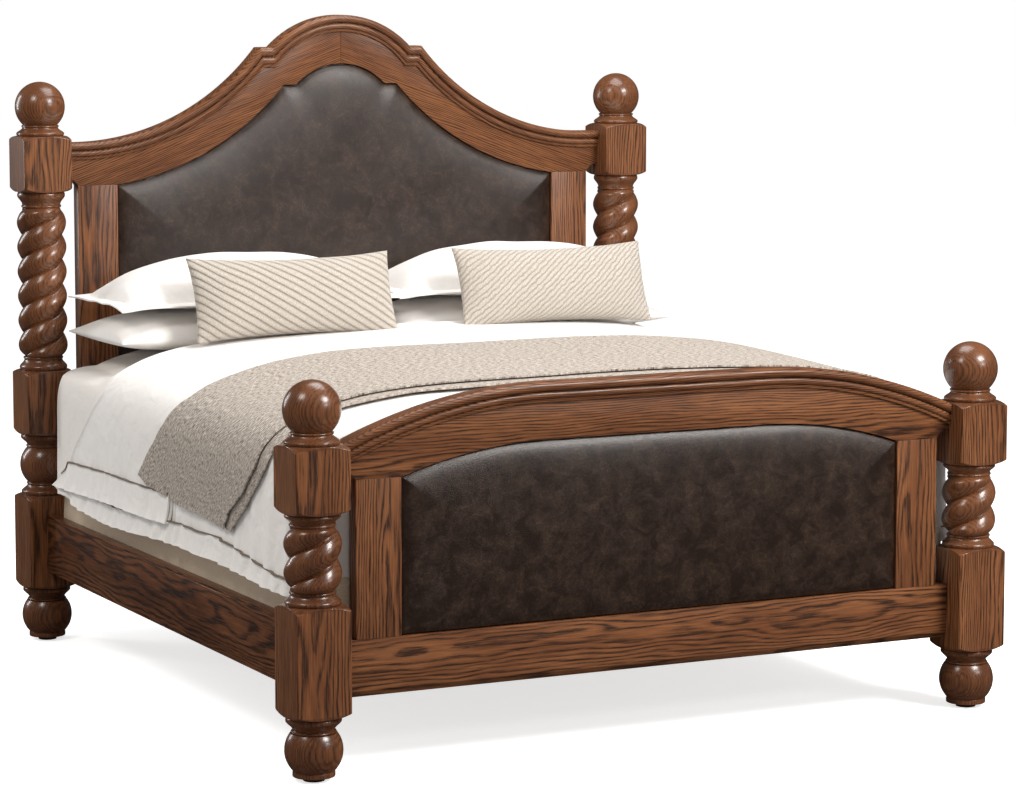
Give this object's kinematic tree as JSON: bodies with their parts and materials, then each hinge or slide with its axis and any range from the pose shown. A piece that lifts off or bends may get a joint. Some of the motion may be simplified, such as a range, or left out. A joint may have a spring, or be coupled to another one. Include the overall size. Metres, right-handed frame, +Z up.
{
  "type": "upholstered bed",
  "caption": "King-size bed in dark oak with barley-twist corner posts, a moulded arched headboard and footboard with brown leather pads, dressed with white and beige bedding.",
  "frame": {"origin": "on the floor, at the centre of the footprint", "axes": "+X to the bed's right seen from the foot end, +Y to the headboard, +Z up"},
  "size_m": [2.153, 2.243, 1.924],
  "materials": {
    "oak": "satin lacquer, dark stain",
    "leather": "semi-gloss, soft grain",
    "plywood": "unfinished plywood",
    "pine": "unfinished",
    "steel": "zinc plated",
    "glide": "matte",
    "ticking": "woven cotton",
    "mattress_cover": "knitted cotton",
    "duvet_cotton": "plain cotton",
    "throw_weave": "heathered weave",
    "pillow_cotton": "plain cotton",
    "quilted_linen": "quilted linen"
  },
  "bodies": {
    "bedstead": {"arch_moulding": "oak", "beam_hangers": "steel", "box_spring_left": "ticking", "box_spring_right": "ticking", "centre_beam": "pine", "crest_moulding_left": "oak", "crest_moulding_right": "oak", "floor_glides": "glide", "foot_ball_foot_left": "oak", "foot_ball_foot_right": "oak", "foot_finial_left": "oak", "foot_finial_right": "oak", "foot_post_left": "oak", "foot_post_right": "oak", "footboard_arch": "oak", "footboard_back_panel": "plywood", "footboard_bottom_rail": "oak", "footboard_leather_pad": "leather", "footboard_pad_board": "plywood", "footboard_stile_left": "oak", "footboard_stile_right": "oak", "head_ball_foot_left": "oak", "head_ball_foot_right": "oak", "head_finial_left": "oak", "head_finial_right": "oak", "head_post_left": "oak", "head_post_right": "oak", "headboard_back_panel": "plywood", "headboard_bottom_rail": "oak", "headboard_crest_left": "oak", "headboard_crest_right": "oak", "headboard_leather_pad": "leather", "headboard_pad_board": "plywood", "headboard_stile_left": "oak", "headboard_stile_right": "oak", "ledger_left": "pine", "ledger_right": "pine", "post_plates": "steel", "rail_hooks": "steel", "side_rail_left": "oak", "side_rail_right": "oak", "slat_1": "pine", "slat_2": "pine", "slat_3": "pine", "slat_4": "pine", "slat_5": "pine", "support_leg_1": "pine", "support_leg_2": "pine", "support_leg_3": "pine"},
    "mattress_set": {"mattress": "mattress_cover", "duvet": "duvet_cotton", "throw_blanket": "throw_weave"},
    "lower_pillow_left": {"pillow_lower_left": "pillow_cotton"},
    "upper_pillow_left": {"pillow_upper_left": "pillow_cotton"},
    "cushion_left": {"lumbar_cushion_left": "quilted_linen"},
    "lower_pillow_right": {"pillow_lower_right": "pillow_cotton"},
    "upper_pillow_right": {"pillow_upper_right": "pillow_cotton"},
    "cushion_right": {"lumbar_cushion_right": "quilted_linen"}
  },
  "joints": [
    {"name": "mattress_lift", "type": "slide", "parent": "bedstead", "child": "mattress_set", "axis": [0, 0, 1], "range_m": [0, 0.25]},
    {"name": "lower_pillow_left_lift", "type": "slide", "parent": "mattress_set", "child": "lower_pillow_left", "axis": [0, 0, 1], "range_m": [0, 0.2]},
    {"name": "upper_pillow_left_lift", "type": "slide", "parent": "lower_pillow_left", "child": "upper_pillow_left", "axis": [0, 0, 1], "range_m": [0, 0.2]},
    {"name": "cushion_left_lift", "type": "slide", "parent": "upper_pillow_left", "child": "cushion_left", "axis": [0, 0, 1], "range_m": [0, 0.2]},
    {"name": "lower_pillow_right_lift", "type": "slide", "parent": "mattress_set", "child": "lower_pillow_right", "axis": [0, 0, 1], "range_m": [0, 0.2]},
    {"name": "upper_pillow_right_lift", "type": "slide", "parent": "lower_pillow_right", "child": "upper_pillow_right", "axis": [0, 0, 1], "range_m": [0, 0.2]},
    {"name": "cushion_right_lift", "type": "slide", "parent": "upper_pillow_right", "child": "cushion_right", "axis": [0, 0, 1], "range_m": [0, 0.2]}
  ]
}
